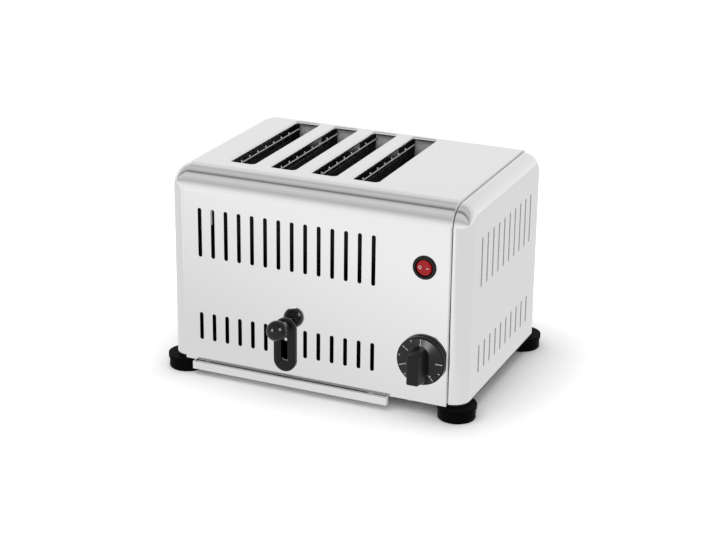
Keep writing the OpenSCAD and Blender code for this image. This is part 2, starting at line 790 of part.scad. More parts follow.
module guide_bracket() {
    span = guide_span + 4 * housing_r;
    near_y = guide_row_y - housing_r;
    color("silver") translate([field_x, 0, bracket_z]) difference() {
        translate([-span / 2, near_y, 0]) cube([span, bulk_front_y - near_y, bracket_t]);
        for (x = [-1, 1]) translate([x * guide_span / 2, guide_row_y, -cut])
            cylinder(h = bracket_t + 2 * cut, d = guide_d + 2 * press_gap);
    }
}

// End plate of the heating chamber with its tab slots, wire holes and rack slots
module bulkhead(y) {
    color("silver") from_back(y + plate_t, plate_t) difference() {
        translate([field_x - chamber_half - plate_t, floor_z])
            square([2 * (chamber_half + plate_t), roof_z - floor_z]);
        for (i = [1:slot_count + 1], z = [board_low_z + tab_inset, board_top_z - tab_inset - tab_h])
            translate([board_x(i) - board_t / 2 - run_gap, z - run_gap])
                square([board_t + 2 * run_gap, tab_h + 2 * run_gap]);
        for (i = [1:slot_count], x = [-1, 1], z = [edge_z + guard_z, top_z - guard_drop])
            translate([slot_x(i) + x * guard_reach, z]) circle(wire_d / 2 + run_gap);
        for (i = [1:slot_count])
            translate([slot_x(i) - rack_t / 2 - free_gap, rack_top_z - finger_tip - rack_h - lever_travel - free_gap])
                square([rack_t + 2 * free_gap, rack_h + lever_travel + 2 * free_gap]);
    }
}

module bulkhead_front() {
    bulkhead(bulk_front_y);
}

module bulkhead_rear() {
    bulkhead(bulk_rear_y);
}

module chamber_side(x) {
    near_y = bulk_front_y + plate_t;
    color("silver") translate([x, near_y, floor_z])
        cube([plate_t, bulk_rear_y - near_y, roof_z - floor_z]);
}

module chamber_left() {
    chamber_side(field_x - chamber_half - plate_t);
}

module chamber_right() {
    chamber_side(field_x + chamber_half);
}

// Mica board whose four tabs pass through the bulkheads
module heater_board(i) {
    near_y = bulk_front_y + plate_t + board_gap;
    far_y = bulk_rear_y - board_gap;
    color("tan") translate([board_x(i) - board_t / 2, 0, 0]) {
        translate([0, near_y, board_low_z]) cube([board_t, far_y - near_y, board_h]);
        for (z = [board_low_z + tab_inset, board_top_z - tab_inset - tab_h])
            translate([0, bulk_front_y - tab_out, z])
                cube([board_t, bulk_rear_y - bulk_front_y + plate_t + 2 * tab_out, tab_h]);
    }
}

// One unbroken ribbon wound round a board, climbing one step at the front edge of each turn
module heater_winding(i) {
    near_y = bulk_front_y + plate_t + board_gap;
    far_y = bulk_rear_y - board_gap;
    first_z = (board_low_z + board_top_z - (ribbon_turns - 1) * ribbon_pitch - ribbon_h) / 2;
    color("dimgray") translate([board_x(i) - board_t / 2, 0, 0]) for (k = [0:ribbon_turns - 1]) {
        z = first_z + k * ribbon_pitch;
        translate([-ribbon_t, near_y - ribbon_t, z]) cube([ribbon_t, far_y - near_y + 2 * ribbon_t, ribbon_h]);
        translate([-ribbon_t, far_y, z]) cube([board_t + 2 * ribbon_t, ribbon_t, ribbon_h]);
        translate([board_t, near_y - ribbon_t, z]) cube([ribbon_t, far_y - near_y + 2 * ribbon_t, ribbon_h]);
        if (k < ribbon_turns - 1) {
            translate([board_t, near_y - ribbon_t, z]) cube([ribbon_t, ribbon_h, ribbon_pitch / 2 + ribbon_h]);
            translate([-ribbon_t, near_y - ribbon_t, z + ribbon_pitch / 2])
                cube([board_t + 2 * ribbon_t, ribbon_t, ribbon_h]);
            translate([-ribbon_t, near_y - ribbon_t, z + ribbon_pitch / 2])
                cube([ribbon_t, ribbon_h, ribbon_pitch / 2 + ribbon_h]);
        }
    }
}

// Wire grid beside a bread slot, its upper tips flared away from the bread
module bread_guard(i) {
    side = i % 2 == 0 ? 1 : -1;
    x = slot_x(ceil(i / 2));
    long_z = top_z - guard_drop;
    low_z = edge_z + guard_z;
    bend_z = long_z + guard_tip - guard_flare;
    color("white") {
        for (z = [low_z, long_z]) translate([x + side * guard_reach, bulk_front_y - tab_out, z])
            rotate([-90, 0, 0])
                cylinder(h = bulk_rear_y - bulk_front_y + plate_t + 2 * tab_out, d = wire_d, $fn = 24);
        for (k = [0:guard_count - 1]) translate([x, slot_y + (k - (guard_count - 1) / 2) * guard_pitch, 0]) {
            translate([side * upright_reach, 0, low_z - wire_d]) cylinder(h = bend_z - low_z + wire_d, d = wire_d, $fn = 24);
            rod_between([side * upright_reach, 0, bend_z - wire_d / 4],
                [side * (guard_reach + wire_d * 0.45), 0, long_z + guard_tip], wire_d * 0.94);
        }
    }
}

// Strips that join the boards' tabs behind the rear bulkhead
module bus_bars() {
    y = bulk_rear_y + plate_t + tab_out;
    color("goldenrod") for (z = [board_low_z + tab_inset, board_top_z - tab_inset - tab_h])
        translate([board_x(1) - tab_h / 2, y, z])
            cube([board_x(slot_count + 1) - board_x(1) + tab_h, bus_t, tab_h]);
}

module timer_body() {
    color("gray") translate([control_x, 0, edge_z + timer_z]) difference() {
        union() {
            translate([-timer_w / 2, front_y + sheet_t, -timer_h / 2]) cube([timer_w, timer_d, timer_h]);
            translate([0, neck_front_y, 0]) rotate([-90, 0, 0])
                cylinder(h = front_y + sheet_t + 1 - neck_front_y, d = neck_d);
        }
        translate([0, neck_front_y - cut, 0]) rotate([-90, 0, 0])
            cylinder(h = timer_d * 0.8, d = shaft_d + 2 * run_gap);
        for (x = [-1, 1]) translate([x * timer_screw_span / 2, front_y, 0]) rotate([-90, 0, 0])
            cylinder(h = timer_d / 3, d = screw_d + 2 * press_gap);
    }
}

module timer_shaft() {
    front_end = knob_back_y - knob_bore;
    back_end = neck_front_y - cut + timer_d * 0.8 - free_gap;
    color("lightgray") translate([control_x, front_end, edge_z + timer_z]) rotate([-90, 0, 0])
        cylinder(h = back_end - front_end, d = shaft_d);
}

// Hollow dial with a bevelled rim, a hub on the shaft and a sloping grip bar
module timer_knob() {
    wall = 2;
    hub_d = shaft_d + 6;
    color("#202020") translate([control_x, knob_back_y, edge_z + timer_z]) difference() {
        union() {
            rotate([90, 0, 0]) rotate_extrude() {
                difference() {
                    square([knob_d / 2, skirt_h]);
                    square([knob_d / 2 - wall - knob_bevel, skirt_h - wall]);
                    translate([knob_d / 2 - knob_bevel, skirt_h]) rotate(-45)
                        square([knob_bevel * sqrt(2), knob_bevel * sqrt(2)], center = false);
                }
                translate([0, 0]) square([hub_d / 2, skirt_h]);
            }
            translate([0, -skirt_h, 0]) intersection() {
                translate([-grip_w / 2, 0, 0]) along_x(grip_w)
                    polygon([[0.5, -grip_down], [-grip_h, 1 - grip_down], [-grip_h, grip_up - grip_slope],
                             [0.5, grip_up]]);
                translate([0, 0, -grip_down]) linear_extrude(grip_down + grip_up)
                    polygon([[-grip_w / 2, 1], [-grip_w / 2, 0], [-grip_crown_w / 2, -grip_h],
                             [grip_crown_w / 2, -grip_h], [grip_w / 2, 0], [grip_w / 2, 1]]);
                translate([0, 1, 0]) rotate([90, 0, 0]) linear_extrude(grip_h + 2) {
                    translate([0, grip_up - grip_w / 2]) circle(d = grip_w);
                    translate([-grip_w / 2, -grip_down]) square([grip_w, grip_down + grip_up - grip_w / 2]);
                }
            }
        }
        rotate([90, 0, 0]) translate([0, 0, -cut]) cylinder(h = knob_bore + cut, d = shaft_d + 2 * press_gap);
    }
}

module timer_screws() {
    color("silver") for (x = [-1, 1])
        translate([control_x + x * timer_screw_span / 2, front_y, edge_z + timer_z]) rotate([-90, 0, 0])
            case_screw(0, timer_d / 4);
}

// Barrel and bezel with the pocket and the trunnion holes for the rocker
module switch_body() {
    pocket_l = 9;
    color("#202020") translate([control_x, 0, edge_z + switch_z]) difference() {
        union() {
            translate([0, front_y - bezel_t, 0]) rotate([-90, 0, 0]) cylinder(h = bezel_t, d = bezel_d);
            translate([0, front_y, 0]) rotate([-90, 0, 0]) cylinder(h = sheet_t + barrel_l, d = barrel_d);
        }
        translate([0, front_y - bezel_t - cut, 0]) rotate([-90, 0, 0])
            cylinder(h = bezel_t + pocket_l + cut, r = pocket_r);
        translate([0, rocker_y, -barrel_d / 2 + 0.4]) cylinder(h = barrel_d - 0.8, d = trunnion_d + 2 * run_gap);
    }
}

// Round rocker on upright trunnions, at rest with its left side pressed in
module switch_rocker() {
    color("red") translate([control_x, rocker_y, edge_z + switch_z]) rotate([0, 0, -rocker_tilt]) {
        rotate([90, 0, 0]) translate([0, 0, -rocker_t / 2]) cylinder(h = rocker_t, d = rocker_d);
        translate([0, 0, -barrel_d / 2 + 0.4 + seat_gap]) cylinder(h = barrel_d - 0.8 - 2 * seat_gap, d = trunnion_d);
    }
}

module terminal_block() {
    color("white") translate([control_x - block_w / 2, block_y, floor_z]) difference() {
        cube([block_w, block_d, block_h]);
        for (k = [1:3]) translate([k * block_w / 4, block_d / 2, block_h / 2])
            cylinder(h = block_h, d = screw_d);
    }
}

// A round lead along right-angled runs with bent corners
module lead(pts) {
    bend = 2 * lead_d;
    last = len(pts) - 1;
    for (k = [0:last - 1])
        rod_between(pts[k] + way(pts[k], pts[k + 1]) * (k == 0 ? 0 : bend),
            pts[k + 1] - way(pts[k], pts[k + 1]) * (k == last - 1 ? 0 : bend), lead_d);
    for (k = [1:last - 1]) {
        u = way(pts[k - 1], pts[k]);
        v = way(pts[k], pts[k + 1]);
        w = cross(-v, u);
        c = pts[k] + (v - u) * bend;
        multmatrix([[-v.x, u.x, w.x, c.x], [-v.y, u.y, w.y, c.y], [-v.z, u.z, w.z, c.z], [0, 0, 0, 1]])
            rotate_extrude(angle = 90) translate([bend, 0]) circle(d = lead_d);
    }
}

// Leads from the terminal block to the switch, the timer and the upper bus bar
module lead_wires() {
    start_z = floor_z + block_h / 2;
    switch_end = front_y + sheet_t + barrel_l;
    timer_end = front_y + sheet_t + timer_d;
    run_y = max(switch_end, timer_end) + 15;
    low_z = edge_z + timer_z - timer_h / 4;
    high_z = edge_z + timer_z + timer_h / 4;
    top_run_z = edge_z + switch_z;
    left_x = control_x - 4;
    right_x = control_x + 4;
    bus_z = board_top_z - tab_inset - tab_h / 2;
    bus_y = bulk_rear_y + plate_t + tab_out + bus_t;
    rear_y = bus_y + 3 * lead_d;
    rise_x = control_x - block_w / 4;
    color("white") {
        lead([[left_x, block_y, start_z], [left_x, run_y + 15, start_z], [left_x, run_y + 15, top_run_z],
              [left_x, switch_end, top_run_z]]);
        lead([[right_x, block_y, start_z], [right_x, run_y, start_z], [right_x, run_y, low_z],
              [right_x, timer_end, low_z]]);
        lead([[right_x, switch_end, top_run_z], [right_x, run_y, top_run_z], [right_x, run_y, high_z],
              [right_x, timer_end, high_z]]);
        lead([[rise_x, block_y + block_d, start_z], [rise_x, rear_y, start_z], [rise_x, rear_y, bus_z],
              [board_x(slot_count + 1), rear_y, bus_z], [board_x(slot_count + 1), bus_y, bus_z]]);
    }
}

// Gland in the back sheet: flange outside, nut inside, open bore for the cord
module cord_gland() {
    neck_r = gland_bore / 2 + gland_wall;
    nut_h = 5;
    color("#202020") translate([gland_x, back_y, edge_z + gland_z]) rotate([-90, 0, 0]) difference() {
        union() {
            cylinder(h = 3, d = gland_head);
            cylinder(h = gland_out, r = neck_r);
            translate([0, 0, -sheet_t - nut_h - 1]) cylinder(h = sheet_t + nut_h + 1, r = neck_r);
            translate([0, 0, -sheet_t - nut_h]) cylinder(h = nut_h, d = gland_head, $fn = 6);
        }
        translate([0, 0, -sheet_t - nut_h - 2]) cylinder(h = gland_out + sheet_t + nut_h + 4, d = gland_bore);
    }
}

wrap_cover();
end_cap_left();
end_cap_right();
base_plate();
crumb_tray();
tray_runners();
for (i = [1:4]) foot(i);
foot_bolts();
case_screws();
lever_plate();
lever_ball();
lever_rod();
lever_shutter();
shutter_rivet();
carriage_bar();
guide_bushes();
brake_spring();
for (i = [1:slot_count]) bread_rack(i);
guide_rods();
stop_sleeves();
guide_bracket();
bulkhead_front();
bulkhead_rear();
chamber_left();
chamber_right();
for (i = [1:slot_count + 1]) heater_board(i);
for (i = [1:slot_count + 1]) heater_winding(i);
for (i = [1:2 * slot_count]) bread_guard(i);
bus_bars();
timer_body();
timer_shaft();
timer_knob();
timer_screws();
switch_body();
switch_rocker();
terminal_block();
lead_wires();
cord_gland();
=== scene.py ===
import json
import math

import bmesh
import bpy
from mathutils import Matrix, Vector


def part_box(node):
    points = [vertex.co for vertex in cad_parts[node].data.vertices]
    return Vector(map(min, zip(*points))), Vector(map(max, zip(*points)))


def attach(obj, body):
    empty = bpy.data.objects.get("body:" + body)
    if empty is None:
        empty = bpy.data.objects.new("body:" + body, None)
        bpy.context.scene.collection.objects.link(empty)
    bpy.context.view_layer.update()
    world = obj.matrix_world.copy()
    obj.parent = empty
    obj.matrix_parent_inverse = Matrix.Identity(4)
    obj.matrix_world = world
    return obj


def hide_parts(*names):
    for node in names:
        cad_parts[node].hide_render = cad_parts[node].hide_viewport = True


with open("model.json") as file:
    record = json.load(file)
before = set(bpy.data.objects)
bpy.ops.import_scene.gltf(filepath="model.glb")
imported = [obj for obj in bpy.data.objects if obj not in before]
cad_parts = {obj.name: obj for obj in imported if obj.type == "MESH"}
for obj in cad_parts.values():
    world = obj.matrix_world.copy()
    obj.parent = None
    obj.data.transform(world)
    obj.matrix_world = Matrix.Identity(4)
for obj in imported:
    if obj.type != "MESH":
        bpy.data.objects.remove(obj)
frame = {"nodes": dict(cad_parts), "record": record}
nodes = frame["nodes"]
slotOf = {entry["node"]: entry["material_slot"] for entry in frame["record"]["subparts"]}
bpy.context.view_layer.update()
scene = bpy.context.scene
mm = 0.001
weld = 1e-5  # points nearer than this are one point, in millimetres
print("stage: frame loaded")


# Shader nodes: each socket takes a constant or another node's output
def addNode(tree, kind, sockets, **settings):
    node = tree.nodes.new("ShaderNode" + kind)
    for name, value in settings.items():
        setattr(node, name, value)
    for name, value in sockets.items():
        if isinstance(value, bpy.types.NodeSocket):
            tree.links.new(value, node.inputs[name])
        else:
            node.inputs[name].default_value = value
    return node


# 1 below a place, 0 above it
def fallAt(tree, value, place, soft):
    fall = addNode(tree, "MapRange", {"Value": value, "From Min": place - soft, "From Max": place + soft,
                                      "To Min": 1, "To Max": 0})
    return fall.outputs["Result"]


# The look's own colour near the top; below, and between the bays of the slots, painted shade darkens it
# where little light reaches
def paintedShadeTone(tree, along, look):
    paintedShade = look["paintedShade"]
    rise = addNode(tree, "MapRange", {"Value": along["Z"], "From Min": paintedShade["low"],
                                      "From Max": paintedShade["high"]})
    unshaded = rise.outputs["Result"]
    if "bays" in paintedShade:
        bays = paintedShade["bays"]
        shifted = addNode(tree, "Math", {0: along["X"], 1: -bays["mid"]}, operation="ADD")
        aside = addNode(tree, "Math", {0: shifted.outputs[0], 1: bays["pitch"] / 2}, operation="PINGPONG")
        within = fallAt(tree, aside.outputs[0], bays["half"], bays["soft"])
        unshaded = addNode(tree, "Math", {0: unshaded, 1: within}, operation="MULTIPLY").outputs[0]
    tone = addNode(tree, "Mix", {"Factor": unshaded, "A": (*paintedShade["color"], 1), "B": (*look["color"], 1)},
                   data_type="RGBA")
    return tone.outputs["Result"]


# Materials, all procedural and placed by object coordinates; a look names what differs from the usual
usual = {"metallic": 0, "specular": 0.5, "grain": 40, "detail": 4, "vary": 0.1, "soft": 0.0001,
         "deep": 0.0002}


def plainMaterial(name, look):
    look = {**usual, **look}
    material = bpy.data.materials.new(name)
    material.use_nodes = True
    tree = material.node_tree
    shader = tree.nodes["Principled BSDF"]
    shader.inputs["Base Color"].default_value = (*look["color"], 1)
    shader.inputs["Metallic"].default_value = look["metallic"]
    shader.inputs["Roughness"].default_value = look["rough"]
    shader.inputs["Specular IOR Level"].default_value = look["specular"]
    place = addNode(tree, "TexCoord", {}).outputs["Object"]
    along = addNode(tree, "SeparateXYZ", {0: place}).outputs
    grainAt = place
    if "brush" in look:
        grainAt = addNode(tree, "Mapping", {"Vector": place, "Scale": look["brush"]}).outputs["Vector"]
    noise = addNode(tree, "TexNoise", {"Vector": grainAt, "Scale": look["grain"], "Detail": look["detail"]})
    grain = noise.outputs["Fac"]
    spread = addNode(tree, "MapRange", {"Value": grain, "To Min": look["rough"] * (1 - look["vary"]),
                                        "To Max": look["rough"] * (1 + look["vary"])})
    tree.links.new(spread.outputs["Result"], shader.inputs["Roughness"])
    if "dull" in look:
        tree.links.new(fallAt(tree, along["Y"], look["dull"], look["soft"]), shader.inputs["Metallic"])
    if "paintedShade" in look:
        tree.links.new(paintedShadeTone(tree, along, look), shader.inputs["Base Color"])
    if "spun" in look:
        around = addNode(tree, "Tangent", {}, direction_type="RADIAL", axis="Y")
        shader.inputs["Anisotropic"].default_value = look["spun"]
        shader.inputs["Anisotropic Rotation"].default_value = 0.25  # a quarter turn
        tree.links.new(around.outputs["Tangent"], shader.inputs["Tangent"])
    if "bump" in look:
        bump = addNode(tree, "Bump", {"Height": grain, "Strength": look["bump"], "Distance": look["deep"]})
        tree.links.new(bump.outputs["Normal"], shader.inputs["Normal"])
    return material


# In metres: "dull" is the Y behind which the tray is no mirror, "low" and "high" are the heights over which
# painted shade gives way to the look's own colour
looks = {
    "bright_steel": {"color": (0.82, 0.82, 0.825), "metallic": 1, "rough": 0.08, "vary": 0.2, "grain": 30,
                     "brush": (0.1, 12, 12)},
    "tray_steel": {"color": (0.85, 0.85, 0.855), "metallic": 1, "rough": 0.18, "grain": 30,
                   "dull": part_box("crumb_tray")[0][1] + 0.0006},
    # painted shade: the inner steel turns near black lower down, where little light reaches inside the case
    "inner_steel": {"color": (0.50, 0.50, 0.50), "metallic": 0.8, "rough": 0.4, "grain": 60,
                    "paintedShade": {"color": (0.035, 0.034, 0.033), "low": 0.18, "high": 0.212}},
    "fastener_steel": {"color": (0.50, 0.50, 0.50), "metallic": 1, "rough": 0.3},
    "rod_steel": {"color": (0.86, 0.86, 0.86), "metallic": 0.5, "rough": 0.25},
    "foot_rubber": {"color": (0.003, 0.003, 0.003), "rough": 0.5, "specular": 0.02, "bump": 0.1,
                    "grain": 400},
    "black_plastic": {"color": (0.006, 0.006, 0.0065), "rough": 0.3, "specular": 0.25, "bump": 0.06,
                      "grain": 900},
    "ball_plastic": {"color": (0.004, 0.004, 0.0045), "rough": 0.1, "specular": 0.3},
    "rocker_plastic": {"color": (0.42, 0.003, 0.008), "rough": 0.2, "specular": 0.3},
    "black_metal": {"color": (0.012, 0.012, 0.012), "rough": 0.4},
    "mica": {"color": (0.05, 0.046, 0.042), "rough": 0.6, "grain": 90},
    "heater_alloy": {"color": (0.14, 0.13, 0.125), "metallic": 1, "rough": 0.45},
    "brass": {"color": (0.60, 0.44, 0.18), "metallic": 1, "rough": 0.3},
    "pale_plastic": {"color": (0.62, 0.61, 0.58), "rough": 0.45},
}
materials = {name: plainMaterial(name, look) for name, look in looks.items()}

# Looks of single pieces, which keep the slots of the record
ownLooks = {
    "markWhite": {"color": (0.86, 0.86, 0.86), "rough": 0.5},
    # painted shade: the guard wires are white near the top of the slots and painted dark below, where the
    # slots fall into shade
    "guardWire": {"color": (0.98, 0.98, 0.98), "rough": 0.3,
                  "paintedShade": {"color": (0.03, 0.029, 0.028), "low": 0.2116, "high": 0.2142}},
    # painted shade: the rear bulkhead keeps its white only near the top of each slot's bay and is painted
    # dark below and between the bays
    "endPlate": {"color": (0.92, 0.92, 0.92), "rough": 0.45,
                 "paintedShade": {"color": (0.02, 0.02, 0.02), "low": 0.192, "high": 0.21,
                           "bays": {"mid": -0.0075, "pitch": 0.045, "half": 0.013, "soft": 0.0005}}},
    # painted shade: the steel guide rods and stop sleeves are coloured near black, so they look as dim as
    # the shade behind the vents
    "darkRod": {"color": (0.012, 0.012, 0.012), "rough": 0.5, "specular": 0.1},
    "spunBlack": {"color": (0.002, 0.002, 0.002), "rough": 0.45, "specular": 0.3, "spun": 0.9},
    "ventRim": {"color": (0.85, 0.85, 0.85), "rough": 0.6},
}
ownMaterials = {name: plainMaterial(name, look) for name, look in ownLooks.items()}
nodeMaterials = {"bulkhead_rear": ownMaterials["endPlate"], "guide_rods": ownMaterials["darkRod"],
                 "stop_sleeves": ownMaterials["darkRod"]}
nodeMaterials.update({name: ownMaterials["guardWire"] for name in nodes if name.startswith("bread_guard")})

for name, node in nodes.items():
    node.data.materials.clear()
    node.data.materials.append(nodeMaterials.get(name, materials[slotOf[name]]))
    if name.startswith("foot_"):
        node.visible_glossy = False  # the bright case shows no image of its feet
print("stage: materials set")


# Mesh helpers, in millimetres
def finishPiece(name, bm, slotName, body, stands=(), material=None):
    bmesh.ops.remove_doubles(bm, verts=bm.verts, dist=weld)
    bmesh.ops.recalc_face_normals(bm, faces=bm.faces)
    bmesh.ops.scale(bm, vec=(mm, mm, mm), verts=bm.verts)
    mesh = bpy.data.meshes.new(name)
    bm.to_mesh(mesh)
    bm.free()
    mesh.materials.append(material or materials[slotName])
    piece = bpy.data.objects.new(name, mesh)
    scene.collection.objects.link(piece)
    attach(piece, body)
    if stands:
        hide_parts(*stands)
    return piece


# Angles of round stretches
def quarter(steps, first=0):
    return [math.radians(90 * k / steps) for k in range(first, steps + 1)]


halfTurn = [math.radians(a) for a in range(0, 181, 15)]


# Outline of a rounded rectangle: centre, half sizes and corner
def roundRect(cu, cv, hu, hv, r, seg):
    points = []
    for su, sv, start in ((1, 1, 0), (-1, 1, 90), (-1, -1, 180), (1, -1, 270)):
        for k in range(seg + 1):
            a = math.radians(start + 90 * k / seg)
            points.append((cu + su * (hu - r) + r * math.cos(a), cv + sv * (hv - r) + r * math.sin(a)))
    return points


# Faces from ring to ring, which have the same number of points
def loft(bm, rings, closed=True, smooth=True):
    made = [[bm.verts.new(p) for p in ring] for ring in rings]
    count = len(made[0])
    for low, high in zip(made, made[1:]):
        for k in range(count if closed else count - 1):
            n = (k + 1) % count
            bm.faces.new((low[k], low[n], high[n], high[k])).smooth = smooth
    return made


def ringEdges(bm, ring):
    return [bm.edges.get(pair) or bm.edges.new(pair) for pair in zip(ring, ring[1:] + ring[:1])]


def fillFlat(bm, edges):
    made = bmesh.ops.triangle_fill(bm, use_beauty=True, use_dissolve=False, edges=edges)
    for item in made["geom"]:
        if isinstance(item, bmesh.types.BMFace):
            item.smooth = False


holeEdge = {"steps": 4, "wide": 0.5}  # an edge wider than "wide" is shaded smooth


# A hole has a centre u and v, half sizes hu and hv, a corner r, a rounded edge and a wall
# This makes the edge and the wall, and gives the ring that lies in the sheet's face
def holeRing(bm, at, hole):
    edge, wall = hole["edge"], hole["wall"]

    def ringAt(grow, depth):
        outline = roundRect(hole["u"], hole["v"], hole["hu"] + grow, hole["hv"] + grow, hole["r"] + grow,
                            hole["seg"])
        return [at(u, v, depth) for u, v in outline]

    rings = [ringAt(edge * (1 - math.sin(a)), edge * (1 - math.cos(a))) for a in quarter(holeEdge["steps"])]
    rounded = len(rings)
    rings.append(ringAt(0, wall))
    if "back" in hole:
        rings.append(ringAt(hole["back"], wall))
    if "walls" in hole:
        loft(hole["walls"], rings[rounded - 1:], smooth=False)
        rings = rings[:rounded]
    return loft(bm, rings, smooth=edge > holeEdge["wide"])[0]


# A flat cell of the sheet round one hole, joined point by point to the hole's ring
def holeCell(bm, at, hole, cell):
    u0, u1, v0, v1 = cell
    seg = hole["seg"]
    ring = holeRing(bm, at, hole)
    outer = []
    for corner, (su, sv) in enumerate(((1, 1), (-1, 1), (-1, -1), (1, -1))):
        side, top = (u1 if su > 0 else u0), (v1 if sv > 0 else v0)
        cu, cv = hole["u"] + su * (hole["hu"] - hole["r"]), hole["v"] + sv * (hole["hv"] - hole["r"])
        for k in range(seg + 1):
            along = k / seg if corner % 2 == 0 else 1 - k / seg
            if along <= 0.5:
                outer.append((side, cv + (top - cv) * along * 2))
            else:
                outer.append((side + (cu - side) * (along - 0.5) * 2, top))
    points = [bm.verts.new(at(u, v, 0)) for u, v in outer]
    for k in range(len(ring)):
        n = (k + 1) % len(ring)
        if (points[k].co - points[n].co).length > weld:
            bm.faces.new((ring[k], ring[n], points[n], points[k])).smooth = False


# A flat sheet cut into plain cells and one cell round each hole
def flatPanel(bm, at, span, holes):
    margin = 2.4  # from a hole to its cell's border
    cells = [(h["u"] - h["hu"] - margin, h["u"] + h["hu"] + margin, h["v"] - h["hv"] - margin,
              h["v"] + h["hv"] + margin) for h in holes]
    us = sorted({round(x, 6) for x in [span[0], span[1]] + [c for cell in cells for c in cell[:2]]})
    vs = sorted({round(x, 6) for x in [span[2], span[3]] + [c for cell in cells for c in cell[2:]]})
    for u0, u1 in zip(us, us[1:]):
        for v0, v1 in zip(vs, vs[1:]):
            mu, mv = (u0 + u1) / 2, (v0 + v1) / 2
            if any(c[0] < mu < c[1] and c[2] < mv < c[3] for c in cells):
                continue
            corners = [bm.verts.new(at(u, v, 0)) for u, v in ((u0, v0), (u1, v0), (u1, v1), (u0, v1))]
            bm.faces.new(corners).smooth = False
    for hole, cell in zip(holes, cells):
        holeCell(bm, at, hole, cell)


def addBox(bm, low, high):
    verts = bmesh.ops.create_cube(bm, size=1)["verts"]
    bmesh.ops.scale(bm, vec=Vector(high) - Vector(low), verts=verts)
    bmesh.ops.translate(bm, vec=(Vector(high) + Vector(low)) / 2, verts=verts)


# A full turn about an axis along Y; the profile gives radius and depth
def spinProfile(bm, profile, centre, steps):
    verts = [bm.verts.new(Vector(centre) + Vector((r, depth, 0))) for r, depth in profile]
    edges = [bm.edges.new(pair) for pair in zip(verts, verts[1:])]
    bmesh.ops.spin(bm, geom=verts + edges, cent=centre, axis=(0, 1, 0), angle=math.tau, steps=steps,
                   use_merge=True)


# Smooth shading, except across edges that are sharper than this
def smoothBy(bm, degrees):
    for face in bm.faces:
        face.smooth = True
    for edge in bm.edges:
        if len(edge.link_faces) == 2 and edge.calc_face_angle(0) > math.radians(degrees):
            edge.smooth = False


# Case: its outer sizes are those of the CAD's cover
coverLow, coverHigh = (Vector(p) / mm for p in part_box("wrap_cover"))
case = {"half": coverHigh.x, "front": coverLow.y, "back": coverHigh.y, "edge": coverLow.z,
        "top": coverHigh.z, "bend": 25.0, "bendSteps": 48, "sheet": 1.0, "chamfer": 0.3, "hem": 2.0,
        "lap": 8.0}
slot = {"x": -30.0, "pitch": 45.0, "half": 13.5, "long": 79.5, "mid": case["front"] + 119.5, "corner": 4.0,
        "lip": 2.0, "deep": 3.0, "back": 1.0, "count": 4, "seg": 8}
vents = {"pitch": 14.6, "count": 14, "half": 2.1, "low": (case["edge"] + 23.8, case["edge"] + 53.6),
         "high": (case["edge"] + 114.0, case["edge"] + 166.0)}
control = {"x": 118.0, "switch": case["edge"] + 141.5, "timer": case["edge"] + 46.0, "switchHole": 10.05,
           "timerHole": 5.05, "leverSlot": (case["edge"] + 39.85, 4.0, 21.65)}
gland = {"x": 112.0, "z": case["edge"] + 30.0, "hole": 6.45}
flange = {"half": 129.5, "wide": 11.4, "inset": 0.6}
punched = {"edge": 0.15, "wall": case["sheet"], "seg": 6}


def ventHole(u, row, half):
    low, high = row
    return {**punched, "u": u, "v": (low + high) / 2, "hu": half, "hv": (high - low) / 2, "r": half}


# "skip" leaves out the lower vents where the lever is
def ventHoles(skip):
    holes = []
    for k in range(vents["count"]):
        step = k - (vents["count"] - 1) / 2
        for row in [vents["high"]] + ([vents["low"]] if abs(step) > skip else []):
            holes.append(ventHole(slot["x"] + step * vents["pitch"], row, vents["half"]))
    return holes


def roundHole(u, v, r):
    return {**punched, "u": u, "v": v, "hu": r, "hv": r, "r": r}


# The bent sheet's section: place and outward normal, from the front's lower edge to the back's
def coverPath():
    b, ease = case["bend"], case["chamfer"]
    front, back, edge, top = case["front"], case["back"], case["edge"], case["top"]
    points = [(front + case["sheet"], edge, 0, -1), (front + ease, edge, 0, -1),
              (front, edge + ease, -1, 0)]
    for a in quarter(case["bendSteps"]):
        c, s = math.cos(a), math.sin(a)
        points.append((front + b - b * c, top - b + b * s, -c, s))
    for a in quarter(case["bendSteps"]):
        c, s = math.cos(a), math.sin(a)
        points.append((back - b + b * s, top - b + b * c, s, c))
    points += [(back, edge + ease, 1, 0), (back - ease, edge, 0, -1), (back - case["sheet"], edge, 0, -1)]
    return points


